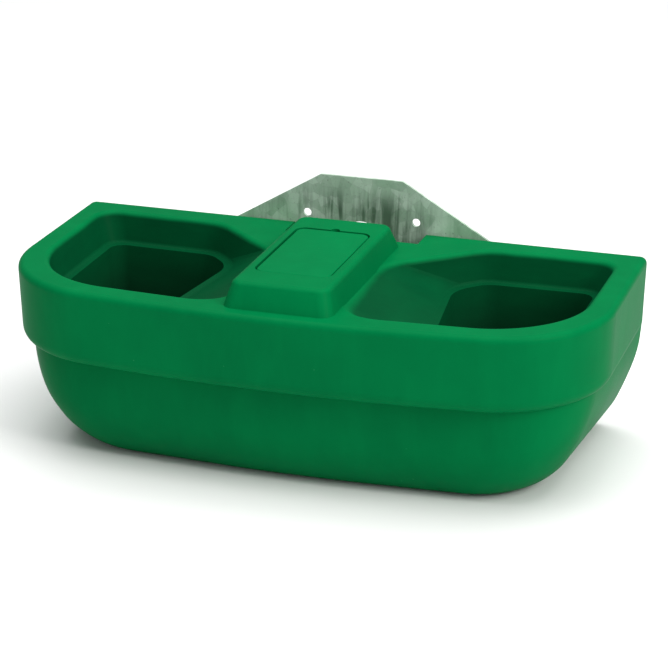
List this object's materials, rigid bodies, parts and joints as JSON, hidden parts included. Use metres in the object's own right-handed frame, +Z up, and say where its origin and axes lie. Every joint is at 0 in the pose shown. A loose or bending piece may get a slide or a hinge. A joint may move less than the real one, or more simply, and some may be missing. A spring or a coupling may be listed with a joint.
{
  "type": "double drinking bowl",
  "caption": "Wall-hung moulded plastic drinking trough for livestock: two bowls, a covered float-valve compartment between them and a galvanised steel wall plate.",
  "frame": {"origin": "midway between the two wall-bolt holes, on the plate's wall face", "axes": "+X along the wall to the right as seen from the front, +Y into the wall, +Z up"},
  "size_m": [0.7722, 0.374, 0.305],
  "materials": {
    "green_polyethylene": "moulded, satin",
    "green_cover": "moulded, satin",
    "galvanised_steel": "hot-dip galvanised",
    "stainless_steel": "satin",
    "brass": "machined",
    "black_plastic": "satin",
    "black_rubber": "matt",
    "white_nylon": "satin",
    "float_plastic": "blow moulded"
  },
  "bodies": {
    "trough": {"trough_body": "green_polyethylene", "bracket_plate": "galvanised_steel", "bracket_screws": "stainless_steel", "bracket_inserts": "brass", "vent_plug": "black_plastic", "valve_body": "brass", "valve_seat": "white_nylon", "valve_end_cap": "brass", "inlet_washers": "black_rubber", "inlet_backnut": "brass", "pivot_pin": "stainless_steel", "pivot_split_pin": "stainless_steel"},
    "cover": {"service_cover": "green_cover"},
    "right_bung": {"right_drain_bung": "black_rubber"},
    "left_bung": {"left_drain_bung": "black_rubber"},
    "float_lever": {"float_arm": "brass", "float_rear_shell": "float_plastic", "float_front_shell": "float_plastic", "float_bush": "brass", "float_locknut": "brass"},
    "piston": {"valve_piston": "brass", "piston_washer": "black_rubber"}
  },
  "joints": [
    {"name": "float_pivot", "type": "hinge", "parent": "trough", "child": "float_lever", "pos_m": [0, -0.152, -0.0558], "axis": [-1, 0, 0], "range_deg": [0, 32]},
    {"name": "piston_slide", "type": "slide", "parent": "trough", "child": "piston", "axis": [0, 1, 0], "range_m": [0, 0.0089]},
    {"name": "cover_lift", "type": "slide", "parent": "trough", "child": "cover", "axis": [0, 0, 1], "range_m": [0, 0.12]},
    {"name": "right_bung_pull", "type": "slide", "parent": "trough", "child": "right_bung", "axis": [0, 0, 1], "range_m": [0, 0.08]},
    {"name": "left_bung_pull", "type": "slide", "parent": "trough", "child": "left_bung", "axis": [0, 0, 1], "range_m": [0, 0.08]}
  ],
  "couplings": [
    {"joint": "piston_slide", "follows": "float_pivot", "m_per_rad": 0.015793}
  ]
}
